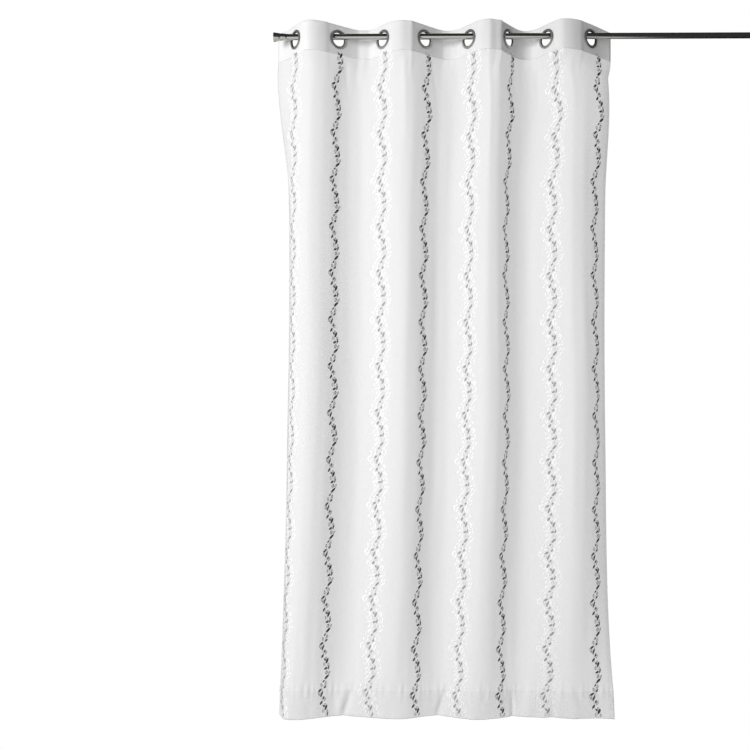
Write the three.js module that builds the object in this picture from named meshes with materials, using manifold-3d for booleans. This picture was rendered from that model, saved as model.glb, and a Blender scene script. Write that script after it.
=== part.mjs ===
// A sheer eyelet curtain hanging on a thin metal rod. Millimetres, +Z up, X along the rod, and the
// room side of the curtain towards -Y. The origin is on the rod's axis, at the curtain's middle.
import * as THREE from 'three';
import { mergeVertices } from 'three/addons/utils/BufferGeometryUtils.js';
import Module from 'manifold-3d';

const wasm = await Module();
wasm.setup();

// Cloth: flat sizes, and the thickness that stands for the voile with its small puckers
const CLOTH_WIDTH = 1400;
const DROP = 2400;
const VOILE_THICKNESS = 2;
const HEADING_HEIGHT = 102;
const HEM_HEIGHT = 95;
const HEM_THICKNESS = 3;
const HEM_STEP = 2;
const FIT_GAP = 0.3;

// Eyelets: a snap ring whose two flanges clamp the heading
const EYELET_COUNT = 8;
const EYELET_PITCH = 172;
const EYELET_BELOW_TOP = 49.6;
const EYELET_DROP = 9.3;
const EYELET_BORE_RADIUS = 23.5;
const EYELET_BARREL_RADIUS = 26.5;
const EYELET_OUTER_RADIUS = 33;
const EYELET_HALF_DEPTH = 3.4;
const EYELET_GROOVE_HALF = 2;
const EYELET_BEVEL = 2;
const EYELET_FLAT = 30;
const EYELET_CLAMP = 35;
const PUNCH_LENGTH = 16;
const ROUND_SIDES = 20;

// Rod: a tube with a flared finial plugged into each end
const ROD_RADIUS = 10;
const ROD_WALL = 1;
const ROD_LENGTH = 1612;
const ROD_LEFT_END = -545;
const SPIGOT_LENGTH = 30;
const FINIAL_PROFILE = [
  { part: 'neck', along: FIT_GAP, radius: 10.6 },
  { part: 'neck', along: 21.5, radius: 12.4 },
  { part: 'groove', along: 22, radius: 11.9 },
  { part: 'groove', along: 23, radius: 11.9 },
  { part: 'flare', along: 23.5, radius: 12.6 },
  { part: 'rim', along: 44.5, radius: 15.5 },
  { part: 'end face', along: 46, radius: 14.8 },
];

const HEADING_TOP = EYELET_BELOW_TOP - EYELET_DROP;
const HEADING_FOOT = HEADING_TOP - HEADING_HEIGHT;
const HEM_EDGE = HEADING_TOP - DROP;
const HEM_TOP = HEM_EDGE + HEM_HEIGHT;
const CLOTH_TAIL = (CLOTH_WIDTH - (EYELET_COUNT - 1) * EYELET_PITCH) / 2;

// Heights at which the folds are stated
const LEVELS = {
  heading: HEADING_FOOT,
  shoulder: -134,
  upper: -550,
  middle: -1382,
  lower: -2131,
  hem: HEM_EDGE,
};

// Eight fold lines, left to right: where each hangs (X) at each level. Between lines 1 and 2 the
// cloth swells to the front, between 2 and 3 to the back, and so on. A line starts at its eyelet
// and has shifted along the cloth by "shift" when it reaches the shoulder. In the heading an inner
// line is turned by "turn" degrees more than its two folds ask for.
const FOLD_LINES = [
  { heading: -515, shoulder: -518, upper: -522, middle: -529, lower: -553, hem: -563, shift: -4 },
  { heading: -366, shoulder: -369, upper: -378, middle: -387, lower: -412, hem: -418, shift: 1, turn: 0 },
  { heading: -212, shoulder: -212, upper: -214, middle: -222, lower: -250, hem: -264, shift: 6, turn: 10 },
  { heading: -67, shoulder: -59, upper: -67, middle: -77, lower: -96, hem: -98, shift: 12, turn: 0 },
  { heading: 86, shoulder: 96, upper: 91, middle: 79, lower: 54, hem: 44, shift: 17, turn: 10 },
  { heading: 223, shoulder: 231, upper: 216, middle: 216, lower: 198, hem: 197, shift: 22, turn: 0 },
  { heading: 354, shoulder: 385, upper: 377, middle: 374, lower: 362, hem: 350, shift: 33, turn: 13 },
  { heading: 507, shoulder: 530, upper: 521, middle: 527, lower: 524, hem: 527, shift: 37 },
];

// The free side margins: degrees by which each turns back from the rod's line, where it leaves the
// outer fold line ("root") and at its free edge
const LEFT_ROOT = { heading: 54, shoulder: 50, upper: 52, middle: 51, lower: 50, hem: 55 };
const LEFT_EDGE = { heading: 30, shoulder: 40, upper: 100, middle: 105, lower: 118, hem: 114 };
const RIGHT_ROOT = { heading: 37, shoulder: 26, upper: 36, middle: 44, lower: 21, hem: -1 };
const RIGHT_EDGE = { heading: 18, shoulder: 54, upper: 45, middle: 50, lower: 22, hem: -14 };
const EDGE_SAG = 9;

// Share of the cloth's width that shows as main folds: the rest is taken up by small puckers
const FULLNESS = { heading: 1, shoulder: 1, upper: 1, middle: 1, lower: 0.95, hem: 0.88 };

// How the front folds turn at their crests in the heading: 1 is round and less is broad and boxy
const HEADING_CREST = 0.62;

const LEAST_ANGLE = THREE.MathUtils.degToRad(12);
const MOST_ANGLE = THREE.MathUtils.degToRad(70);
const CREST_COLUMNS = 6;
const TAIL_COLUMNS = 2;
const BODY_ROWS = 20;
const ROW_EASE = 1.35;
const RUN_STEPS = 24;
const SOLVE_STEPS = 30;
const PROBE_STEP = 1;

// A smooth run of one table row down the drop, read by height.
function downTheDrop(row) {
  const names = Object.keys(LEVELS);
  const depths = names.map((name) => -LEVELS[name]);
  const values = names.map((name) => row[name]);
  const curve = new THREE.CubicInterpolant(depths, values, 1, [0]);
  curve.settings = { endingStart: THREE.ZeroSlopeEnding, endingEnd: THREE.ZeroCurvatureEnding };
  return (z) => curve.evaluate(-z)[0];
}

const lineX = FOLD_LINES.map(downTheDrop);
const rootAngles = [LEFT_ROOT, RIGHT_ROOT].map(downTheDrop);
const edgeAngles = [LEFT_EDGE, RIGHT_EDGE].map(downTheDrop);
const fullness = downTheDrop(FULLNESS);

// How far the cloth has left the hold of the eyelets: 0 in the heading, 1 below the shoulder.
function settled(z) {
  return THREE.MathUtils.smoothstep(-z, -LEVELS.heading, -LEVELS.shoulder);
}

function lineCloth(index, z) {
  return CLOTH_TAIL + index * EYELET_PITCH + FOLD_LINES[index].shift * settled(z);
}

// Where a run of unit-length cloth has got to at a share of its length, along and across the rod.
function run(angleAt, share) {
  let along = 0;
  let across = 0;
  for (let i = 0; i < RUN_STEPS; i += 1) {
    const angle = angleAt((share * (i + 0.5)) / RUN_STEPS);
    along += Math.cos(angle);
    across += Math.sin(angle);
  }
  const step = share / RUN_STEPS;
  return { along: along * step, across: across * step };
}

// Half a fold, from its line to its crest: held straight at first, then bending until it faces out.
function halfFold(angle, bend) {
  return (share) => {
    const bent = Math.max(0, (share - bend.flat) / (1 - bend.flat)) ** bend.power;
    return angle * Math.cos((bent * Math.PI) / 2);
  };
}

// The angle at a fold line that shortens the cloth to the wanted share of its length.
function angleForGather(gather, bend) {
  let low = LEAST_ANGLE;
  let high = MOST_ANGLE;
  for (let i = 0; i < SOLVE_STEPS; i += 1) {
    const middle = (low + high) / 2;
    if (run(halfFold(middle, bend), 1).along > gather) low = middle;
    else high = middle;
  }
  return low;
}

// The plan of the cloth at one height: its fold lines, their angles and the share held flat.
const plans = new Map();
function planAt(z) {
  if (plans.has(z)) return plans.get(z);
  const held = 1 - settled(z);
  const flat = (held * EYELET_FLAT) / (EYELET_PITCH / 2);
  const front = { flat, power: 1 + (HEADING_CREST - 1) * held };
  const back = { flat, power: 1 };
  const lines = FOLD_LINES.map((_, i) => ({ x: lineX[i](z), cloth: lineCloth(i, z) }));
  const folds = lines.slice(1).map((line, i) => {
    const length = (line.cloth - lines[i].cloth) * fullness(z);
    return angleForGather((line.x - lines[i].x) / length, i % 2 === 0 ? front : back);
  });
  lines.slice(1, -1).forEach((line, i) => {
    const turn = THREE.MathUtils.degToRad(FOLD_LINES[i + 1].turn * held);
    line.angle = (folds[i] + folds[i + 1]) / 2 + turn;
  });
  const roots = rootAngles.map((angle) => THREE.MathUtils.degToRad(angle(z)));
  const edges = edgeAngles.map((angle) => THREE.MathUtils.degToRad(angle(z)));
  lines[0].angle = roots[0];
  lines.at(-1).angle = roots[1];
  const plan = { lines, edges, front, back, clamped: held * EYELET_FLAT };
  plans.set(z, plan);
  return plan;
}

// A side margin, from its fold line out to the free edge, always behind the rod.
function tailPoint(line, edgeAngle, clamped, direction, distance) {
  const length = direction < 0 ? line.cloth : CLOTH_WIDTH - line.cloth;
  const flat = clamped / length;
  const angleAt = (share) => {
    const bent = THREE.MathUtils.clamp((share - flat) / (1 - flat), 0, 1);
    return THREE.MathUtils.lerp(line.angle, edgeAngle, bent);
  };
  const point = run(angleAt, distance / length);
  return [line.x + direction * length * point.along, length * point.across];
}

// How far the cloth sags at its free top corners: nothing between the outer fold lines.
function cornerSag(lines, cloth, z) {
  const left = (lines[0].cloth - cloth) / lines[0].cloth;
  const right = (cloth - lines.at(-1).cloth) / (CLOTH_WIDTH - lines.at(-1).cloth);
  const fade = 1 - THREE.MathUtils.smoothstep(-z, -LEVELS.shoulder, -LEVELS.upper);
  return EDGE_SAG * fade * Math.max(left, right, 0) ** 2;
}

// A fold between two lines: two half folds that meet at the crest, drawn to the lines' distance.
function foldPoint(left, right, bend, side, distance) {
  const leftRun = run(halfFold(left.angle, bend), 1);
  const rightRun = run(halfFold(right.angle, bend), 1);
  const length = right.cloth - left.cloth;
  const leftLength = (length * rightRun.across) / (leftRun.across + rightRun.across);
  const rightLength = length - leftLength;
  const scale = (right.x - left.x) / (leftLength * leftRun.along + rightLength * rightRun.along);
  if (distance < leftLength) {
    const point = run(halfFold(left.angle, bend), distance / leftLength);
    return [left.x + scale * leftLength * point.along, side * scale * leftLength * point.across];
  }
  const point = run(halfFold(right.angle, bend), (length - distance) / rightLength);
  return [right.x - scale * rightLength * point.along, side * scale * rightLength * point.across];
}

// The point of the cloth at a distance from its left edge and a height.
function clothPoint(cloth, z) {
  const { lines, edges, front, back, clamped } = planAt(z);
  const last = lines.length - 1;
  let plan;
  if (cloth <= lines[0].cloth) {
    plan = tailPoint(lines[0], edges[0], clamped, -1, lines[0].cloth - cloth);
  } else if (cloth >= lines[last].cloth) {
    plan = tailPoint(lines[last], edges[1], clamped, 1, cloth - lines[last].cloth);
  } else {
    const right = lines.findIndex((line) => line.cloth > cloth);
    const [bend, side] = right % 2 === 1 ? [front, -1] : [back, 1];
    plan = foldPoint(lines[right - 1], lines[right], bend, side, cloth - lines[right - 1].cloth);
  }
  return new THREE.Vector3(plan[0], plan[1], z - cornerSag(lines, cloth, z));
}

// Points of the cloth's two faces, one on each side of its middle surface.
function facePoints(cloth, z, thickness) {
  const across = clothPoint(cloth + PROBE_STEP, z).sub(clothPoint(cloth - PROBE_STEP, z));
  const down = clothPoint(cloth, z - PROBE_STEP).sub(clothPoint(cloth, z + PROBE_STEP));
  const half = down.cross(across).setLength(thickness / 2);
  const middle = clothPoint(cloth, z);
  return { front: middle.clone().add(half), back: middle.sub(half) };
}

// Columns of the cloth, closer where it bends between the clamped stretches.
function clothColumns() {
  const columns = [];
  const addRun = (from, to, count) => {
    for (let i = 0; i < count; i += 1) columns.push(from + ((to - from) * i) / count);
  };
  addRun(0, CLOTH_TAIL - EYELET_CLAMP, TAIL_COLUMNS);
  for (let i = 0; i < EYELET_COUNT; i += 1) {
    const eyelet = CLOTH_TAIL + i * EYELET_PITCH;
    addRun(eyelet - EYELET_CLAMP, eyelet + EYELET_CLAMP, 2);
    if (i < EYELET_COUNT - 1) {
      addRun(eyelet + EYELET_CLAMP, eyelet + EYELET_PITCH - EYELET_CLAMP, CREST_COLUMNS);
    }
  }
  addRun(CLOTH_WIDTH - CLOTH_TAIL + EYELET_CLAMP, CLOTH_WIDTH, TAIL_COLUMNS);
  columns.push(CLOTH_WIDTH);
  return columns;
}

// A closed sheet over a grid of columns and rows, each row with its own height and thickness.
function sheetGeometry(columns, rows) {
  const points = [];
  rows.forEach((row) => {
    columns.forEach((cloth) => {
      const { front, back } = facePoints(cloth, row.z, row.thickness);
      points.push(...front.toArray(), ...back.toArray());
    });
  });
  const index = [];
  const at = (row, column, back) => 2 * (row * columns.length + column) + back;
  const quad = (a, b, c, d) => index.push(a, b, c, a, c, d);
  const lastRow = rows.length - 1;
  const lastColumn = columns.length - 1;
  for (let r = 0; r < lastRow; r += 1) {
    for (let c = 0; c < lastColumn; c += 1) {
      quad(at(r, c, 0), at(r + 1, c, 0), at(r + 1, c + 1, 0), at(r, c + 1, 0));
      quad(at(r, c, 1), at(r, c + 1, 1), at(r + 1, c + 1, 1), at(r + 1, c, 1));
    }
    quad(at(r, 0, 0), at(r, 0, 1), at(r + 1, 0, 1), at(r + 1, 0, 0));
    quad(at(r, lastColumn, 0), at(r + 1, lastColumn, 0), at(r + 1, lastColumn, 1), at(r, lastColumn, 1));
  }
  for (let c = 0; c < lastColumn; c += 1) {
    quad(at(0, c, 0), at(0, c + 1, 0), at(0, c + 1, 1), at(0, c, 1));
    quad(at(lastRow, c, 0), at(lastRow, c, 1), at(lastRow, c + 1, 1), at(lastRow, c + 1, 0));
  }
  const geometry = new THREE.BufferGeometry();
  geometry.setAttribute('position', new THREE.Float32BufferAttribute(points, 3));
  geometry.setIndex(index);
  return geometry;
}

function toSolid(geometry) {
  const bare = geometry.clone();
  bare.deleteAttribute('normal');
  bare.deleteAttribute('uv');
  const merged = mergeVertices(bare);
  const vertProperties = merged.getAttribute('position').array;
  return new wasm.Manifold(new wasm.Mesh({ numProp: 3, vertProperties, triVerts: merged.index.array }));
}

function toGeometry(solid) {
  const mesh = solid.getMesh();
  const geometry = new THREE.BufferGeometry();
  geometry.setAttribute('position', new THREE.BufferAttribute(mesh.vertProperties, 3));
  geometry.setIndex(new THREE.BufferAttribute(mesh.triVerts, 1));
  return geometry;
}

// Where each eyelet sits: on its fold line, square to the cloth there.
function eyeletPlace(index) {
  const line = planAt(HEADING_FOOT).lines[index];
  const turn = index % 2 === 0 ? -line.angle : line.angle;
  return { position: new THREE.Vector3(line.x, 0, -EYELET_DROP), turn };
}

function panelGeometry() {
  const rows = [];
  const top = HEADING_FOOT - FIT_GAP;
  for (let i = 0; i <= BODY_ROWS; i += 1) {
    const share = (i / BODY_ROWS) ** ROW_EASE;
    rows.push({ z: top + (HEM_TOP + HEM_STEP - top) * share, thickness: VOILE_THICKNESS });
  }
  rows.push({ z: HEM_TOP, thickness: HEM_THICKNESS });
  rows.push({ z: (HEM_TOP + HEM_EDGE) / 2, thickness: HEM_THICKNESS });
  rows.push({ z: HEM_EDGE, thickness: HEM_THICKNESS });
  return sheetGeometry(clothColumns(), rows);
}

// The heading is a plain strip with a round hole for the barrel of each eyelet.
function headingGeometry() {
  const rows = [HEADING_TOP, HEADING_FOOT].map((z) => ({ z, thickness: VOILE_THICKNESS }));
  let strip = toSolid(sheetGeometry(clothColumns(), rows));
  const holeRadius = EYELET_BARREL_RADIUS + FIT_GAP;
  for (let i = 0; i < EYELET_COUNT; i += 1) {
    const { position, turn } = eyeletPlace(i);
    const punch = new THREE.CylinderGeometry(holeRadius, holeRadius, PUNCH_LENGTH, ROUND_SIDES);
    punch.rotateZ(turn).translate(position.x, position.y, position.z);
    strip = strip.subtract(toSolid(punch));
  }
  return toGeometry(strip);
}

// Section of an eyelet, radius by depth: a round bore, and two flanges with a groove between them.
function eyeletGeometry() {
  const lip = EYELET_HALF_DEPTH / Math.SQRT2;
  const boreEdge = EYELET_BORE_RADIUS + EYELET_HALF_DEPTH;
  const rim = EYELET_OUTER_RADIUS;
  const groove = EYELET_GROOVE_HALF;
  const upper = [
    [EYELET_BORE_RADIUS, 0],
    [boreEdge - lip, lip],
    [boreEdge, EYELET_HALF_DEPTH],
    [rim - EYELET_BEVEL, EYELET_HALF_DEPTH],
    [rim, EYELET_HALF_DEPTH - EYELET_BEVEL / 2],
    [rim, groove],
    [EYELET_BARREL_RADIUS, groove],
  ];
  const lower = upper.slice(1).reverse().map(([radius, depth]) => [radius, -depth]);
  const section = [...upper, ...lower, upper[0]].map(([radius, depth]) => new THREE.Vector2(radius, depth));
  return new THREE.LatheGeometry(section.reverse(), ROUND_SIDES);
}

function rodGeometry() {
  const bore = ROD_RADIUS - ROD_WALL;
  const half = ROD_LENGTH / 2;
  const section = [
    new THREE.Vector2(bore, -half),
    new THREE.Vector2(ROD_RADIUS, -half),
    new THREE.Vector2(ROD_RADIUS, half),
    new THREE.Vector2(bore, half),
    new THREE.Vector2(bore, -half),
  ];
  return new THREE.LatheGeometry(section, ROUND_SIDES);
}

// A finial along its own axis: the spigot inside the tube, and a cone in two parts up to the flat end.
function finialGeometry() {
  const spigotRadius = ROD_RADIUS - ROD_WALL - FIT_GAP;
  const section = [
    { along: -SPIGOT_LENGTH, radius: 0 },
    { along: -SPIGOT_LENGTH, radius: spigotRadius },
    { along: FIT_GAP, radius: spigotRadius },
    ...FINIAL_PROFILE,
    { along: FINIAL_PROFILE.at(-1).along, radius: 0 },
  ];
  const points = section.map(({ along, radius }) => new THREE.Vector2(radius, along));
  return new THREE.LatheGeometry(points, ROUND_SIDES);
}

const voile = new THREE.MeshStandardMaterial({ color: 0xf3f3f1, roughness: 0.9, metalness: 0 });
const headingCloth = new THREE.MeshStandardMaterial({ color: 0xe9e9e8, roughness: 0.85, metalness: 0 });
const chrome = new THREE.MeshStandardMaterial({ color: 0xb4b6ba, roughness: 0.22, metalness: 1 });
const steel = new THREE.MeshStandardMaterial({ color: 0xa9abae, roughness: 0.3, metalness: 1 });

const curtain = new THREE.Group();

function add(name, geometry, material) {
  const mesh = new THREE.Mesh(geometry, material);
  mesh.name = name;
  curtain.add(mesh);
  return mesh;
}

add('voile_panel', panelGeometry(), voile);
add('heading_strip', headingGeometry(), headingCloth);
for (let i = 0; i < EYELET_COUNT; i += 1) {
  const { position, turn } = eyeletPlace(i);
  const eyelet = add(`eyelet_${i + 1}`, eyeletGeometry(), chrome);
  eyelet.position.copy(position);
  eyelet.rotation.z = turn;
}
const rod = add('rod', rodGeometry(), steel);
rod.position.x = ROD_LEFT_END + ROD_LENGTH / 2;
rod.rotation.z = -Math.PI / 2;
const finialLeft = add('finial_left', finialGeometry(), steel);
finialLeft.position.x = ROD_LEFT_END;
finialLeft.rotation.z = Math.PI / 2;
const finialRight = add('finial_right', finialGeometry(), steel);
finialRight.position.x = ROD_LEFT_END + ROD_LENGTH;
finialRight.rotation.z = -Math.PI / 2;

export default curtain;
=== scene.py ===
"""A sheer embroidered eyelet curtain on a thin metal rod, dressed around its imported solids."""

import math

import bmesh
import bpy
import numpy as np
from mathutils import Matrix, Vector


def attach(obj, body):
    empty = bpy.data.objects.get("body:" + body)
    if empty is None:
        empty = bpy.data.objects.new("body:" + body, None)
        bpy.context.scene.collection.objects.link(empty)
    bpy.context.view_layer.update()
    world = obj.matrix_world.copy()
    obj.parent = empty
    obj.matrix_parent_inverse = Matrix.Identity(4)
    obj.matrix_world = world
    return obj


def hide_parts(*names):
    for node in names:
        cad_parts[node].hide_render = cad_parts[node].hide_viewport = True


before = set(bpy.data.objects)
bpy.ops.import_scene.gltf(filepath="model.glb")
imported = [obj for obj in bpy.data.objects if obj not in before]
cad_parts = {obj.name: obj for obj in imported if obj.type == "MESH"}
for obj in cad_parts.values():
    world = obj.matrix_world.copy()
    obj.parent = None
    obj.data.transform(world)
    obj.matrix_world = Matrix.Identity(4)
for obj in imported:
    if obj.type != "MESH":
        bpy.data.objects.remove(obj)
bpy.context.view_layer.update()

# All sizes below are in millimetres, in the frame of the solids
MM = 0.001
UP = (0, 0, 1)
RIGHT = (1, 0, 0)
LEFT = (-1, 0, 0)

# Cloth, as in the solids
CLOTH_WIDTH = 1400
DROP = 2400
HEADING_HEIGHT = 102
HEM_HEIGHT = 95
SIDE_HEM = 18
LAYER_GAP = 0.7
SEAM_GAP = 0.3
EYELET_COUNT = 8
EYELET_PITCH = 172
EYELET_BELOW_TOP = 49.6
EYELET_DROP = 9.3
EYELET_FLAT = 30
HEADING_TOP = EYELET_BELOW_TOP - EYELET_DROP
HEADING_FOOT = HEADING_TOP - HEADING_HEIGHT
HEM_EDGE = HEADING_TOP - DROP
HEM_TOP = HEM_EDGE + HEM_HEIGHT
CLOTH_TAIL = (CLOTH_WIDTH - (EYELET_COUNT - 1) * EYELET_PITCH) / 2

# Heights at which the folds are stated, from the heading's foot to the hem's edge
LEVELS = dict(heading=HEADING_FOOT, shoulder=-134, upper=-550, middle=-1382, lower=-2131, hem=HEM_EDGE)

# Fold lines, left to right: where each hangs at each level, its shift along the cloth, the degrees by
# which its eyelet is turned more than the folds ask for, and how far below the first its vine starts
FOLD_LINES = [
    dict(heading=-515, shoulder=-518, upper=-522, middle=-529, lower=-553, hem=-563,
         shift=-4, turn=0, start=0),
    dict(heading=-366, shoulder=-369, upper=-378, middle=-387, lower=-412, hem=-418,
         shift=1, turn=0, start=0),
    dict(heading=-212, shoulder=-212, upper=-214, middle=-222, lower=-250, hem=-264,
         shift=6, turn=10, start=0),
    dict(heading=-67, shoulder=-59, upper=-67, middle=-77, lower=-96, hem=-98,
         shift=12, turn=0, start=10),
    dict(heading=86, shoulder=96, upper=91, middle=79, lower=54, hem=44,
         shift=17, turn=10, start=10),
    dict(heading=223, shoulder=231, upper=216, middle=216, lower=198, hem=197,
         shift=22, turn=0, start=10),
    dict(heading=354, shoulder=385, upper=377, middle=374, lower=362, hem=350,
         shift=33, turn=13, start=10),
    dict(heading=507, shoulder=530, upper=521, middle=527, lower=524, hem=527,
         shift=37, turn=0, start=10),
]

# Degrees by which the side margins turn back from the rod's line, at the outer fold lines and at
# their free edges, and the sag of the free top corners
LEFT_ROOT = dict(heading=54, shoulder=50, upper=54, middle=56, lower=60, hem=62)
LEFT_EDGE = dict(heading=30, shoulder=40, upper=99, middle=99, lower=106, hem=104)
RIGHT_ROOT = dict(heading=37, shoulder=26, upper=36, middle=44, lower=21, hem=-1)
RIGHT_EDGE = dict(heading=24, shoulder=52, upper=45, middle=50, lower=22, hem=-14)
EDGE_SAG = 9
LEFT_SAG = 0.4

# Share of the cloth's width that shows as main folds
FULLNESS = dict(heading=1, shoulder=1, upper=1, middle=1, lower=0.95, hem=0.88)

# How sharply each fold turns at its crest: 1 is a round wave, more keeps its sides straight
CREST_POWER = [
    dict(heading=0.95, shoulder=1.0, upper=1.0, middle=1.0, lower=1.0, hem=1.0),
    dict(heading=1.0, shoulder=1.0, upper=1.0, middle=1.0, lower=1.2, hem=1.7),
    dict(heading=0.62, shoulder=1.4, upper=1.2, middle=1.0, lower=1.0, hem=1.0),
    dict(heading=1.0, shoulder=1.0, upper=1.0, middle=1.0, lower=1.2, hem=1.6),
    dict(heading=0.62, shoulder=1.6, upper=1.4, middle=1.2, lower=1.0, hem=1.0),
    dict(heading=1.0, shoulder=1.0, upper=1.0, middle=1.0, lower=1.2, hem=1.7),
    dict(heading=0.8, shoulder=1.1, upper=1.0, middle=1.0, lower=1.0, hem=1.0),
]

# Share of its depth by which the cloth behind hangs lower, so that the hem looks level from the front
BACK_SAG = [
    dict(height=-1750, share=0.0),
    dict(height=HEM_TOP, share=0.28),
    dict(height=HEM_EDGE, share=0.04),
]

LEAST_ANGLE = math.radians(12)
MOST_ANGLE = math.radians(70)
HALF_FOLD_STEPS = 48
SOLVE_STEPS = 30

# Grid of the sheet, and how far apart points of one skin may lie
COLUMNS = 400
BODY_ROWS = 212
HEADING_ROWS = 10
WELD_REACH = 0.01

# Edges that bend more than this stay sharp
METAL_EDGE = math.radians(50)
THREAD_EDGE = math.radians(70)


def smoothstep(value, low, high):
    share = np.clip((value - low) / (high - low), 0, 1)
    return share * share * (3 - 2 * share)


def down_the_drop(row, z):
    """One table row as a smooth run down the drop, read at a height."""
    depths = np.array([-height for height in LEVELS.values()], float)
    values = np.array([row[name] for name in LEVELS], float)
    slopes = np.diff(values) / np.diff(depths)
    tangents = np.concatenate([[0], (slopes[1:] + slopes[:-1]) / 2, slopes[-1:]])
    depth = np.clip(-z, depths[0], depths[-1])
    i = int(np.clip(np.searchsorted(depths, depth, side="right") - 1, 0, len(slopes) - 1))
    span = depths[i + 1] - depths[i]
    p = (depth - depths[i]) / span
    start = values[i] * (1 + 2 * p) * (1 - p) ** 2 + tangents[i] * span * p * (1 - p) ** 2
    end = values[i + 1] * p * p * (3 - 2 * p) - tangents[i + 1] * span * p * p * (1 - p)
    return start + end


def settled(z):
    """0 where the eyelets hold the cloth, 1 from the shoulder down."""
    return float(smoothstep(-z, -LEVELS["heading"], -LEVELS["shoulder"]))


def half_fold(angle, flat, power):
    """Angles of equal steps of cloth from a fold line to its crest."""
    share = (np.arange(HALF_FOLD_STEPS) + 0.5) / HALF_FOLD_STEPS
    bent = np.clip((share - flat) / (1 - flat), 0, 1)
    return angle * np.cos(bent ** power * np.pi / 2)


def side_margin(root, edge, clamped):
    """Angles of equal steps of cloth from an outer fold line to the free edge."""
    share = (np.arange(HALF_FOLD_STEPS) + 0.5) / HALF_FOLD_STEPS
    return root + (edge - root) * np.clip((share - clamped) / (1 - clamped), 0, 1)


def run(angles, length):
    """Distance along, run along the rod and run across it, after each step of cloth."""
    step = length / len(angles)
    along = np.concatenate([[0], np.cumsum(np.cos(angles))]) * step
    across = np.concatenate([[0], np.cumsum(np.sin(angles))]) * step
    return np.arange(len(angles) + 1) * step, along, across


def angle_for_gather(gather, flat, power):
    """The angle at a fold line that shortens the cloth to the wanted share of its length."""
    low, high = LEAST_ANGLE, MOST_ANGLE
    for _ in range(SOLVE_STEPS):
        middle = (low + high) / 2
        if np.cos(half_fold(middle, flat, power)).mean() > gather:
            low = middle
        else:
            high = middle
    return low


def plan_curve(z):
    """Cloth distance, X and Y of closely spaced points of the cloth at one height."""
    free = settled(z)
    flat = (1 - free) * EYELET_FLAT / (EYELET_PITCH / 2)
    line_x = [down_the_drop(line, z) for line in FOLD_LINES]
    line_cloth = [CLOTH_TAIL + i * EYELET_PITCH + line["shift"] * free for i, line in enumerate(FOLD_LINES)]
    powers = [down_the_drop(row, z) for row in CREST_POWER]
    full = down_the_drop(FULLNESS, z)
    roots = [math.radians(down_the_drop(row, z)) for row in (LEFT_ROOT, RIGHT_ROOT)]
    edges = [math.radians(down_the_drop(row, z)) for row in (LEFT_EDGE, RIGHT_EDGE)]
    gathers = np.diff(line_x) / (np.diff(line_cloth) * full)
    folds = [angle_for_gather(gather, flat, power) for gather, power in zip(gathers, powers)]
    turns = [math.radians(line["turn"] * (1 - free)) for line in FOLD_LINES[1:-1]]
    inner = [(a + b) / 2 + turn for a, b, turn in zip(folds, folds[1:], turns)]
    line_angle = [roots[0], *inner, roots[1]]

    length = line_cloth[0]
    clamped = (1 - free) * EYELET_FLAT / length
    distance, along, across = run(side_margin(roots[0], edges[0], clamped), length)
    cloth = [(line_cloth[0] - distance)[:0:-1]]
    x = [(line_x[0] - along)[:0:-1]]
    y = [across[:0:-1]]
    for i, power in enumerate(powers):
        left = half_fold(line_angle[i], flat, power)
        right = half_fold(line_angle[i + 1], flat, power)
        length = line_cloth[i + 1] - line_cloth[i]
        left_share = np.sin(right).mean() / (np.sin(left).mean() + np.sin(right).mean())
        left_run = run(left, length * left_share)
        right_run = run(right, length * (1 - left_share))
        scale = (line_x[i + 1] - line_x[i]) / (left_run[1][-1] + right_run[1][-1])
        side = -scale if i % 2 == 0 else scale
        cloth += [line_cloth[i] + left_run[0][:-1], (line_cloth[i + 1] - right_run[0])[:0:-1]]
        x += [line_x[i] + scale * left_run[1][:-1], (line_x[i + 1] - scale * right_run[1])[:0:-1]]
        y += [side * left_run[2][:-1], side * right_run[2][:0:-1]]
    length = CLOTH_WIDTH - line_cloth[-1]
    clamped = (1 - free) * EYELET_FLAT / length
    distance, along, across = run(side_margin(roots[1], edges[1], clamped), length)
    cloth.append(line_cloth[-1] + distance)
    x.append(line_x[-1] + along)
    y.append(across)
    return np.concatenate(cloth), np.concatenate(x), np.concatenate(y)


def corner_sag(cloth, z):
    """How far the cloth sags at its free top corners: nothing between the outer fold lines."""
    free = settled(z)
    left = CLOTH_TAIL + FOLD_LINES[0]["shift"] * free
    right = CLOTH_TAIL - FOLD_LINES[-1]["shift"] * free
    outside = np.maximum(LEFT_SAG * (left - cloth) / left, (cloth - CLOTH_WIDTH + right) / right)
    fade = 1 - smoothstep(-z, -LEVELS["shoulder"], -LEVELS["upper"])
    return EDGE_SAG * fade * np.maximum(outside, 0) ** 2


def unit(vectors):
    return vectors / np.linalg.norm(vectors, axis=-1, keepdims=True)


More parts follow.
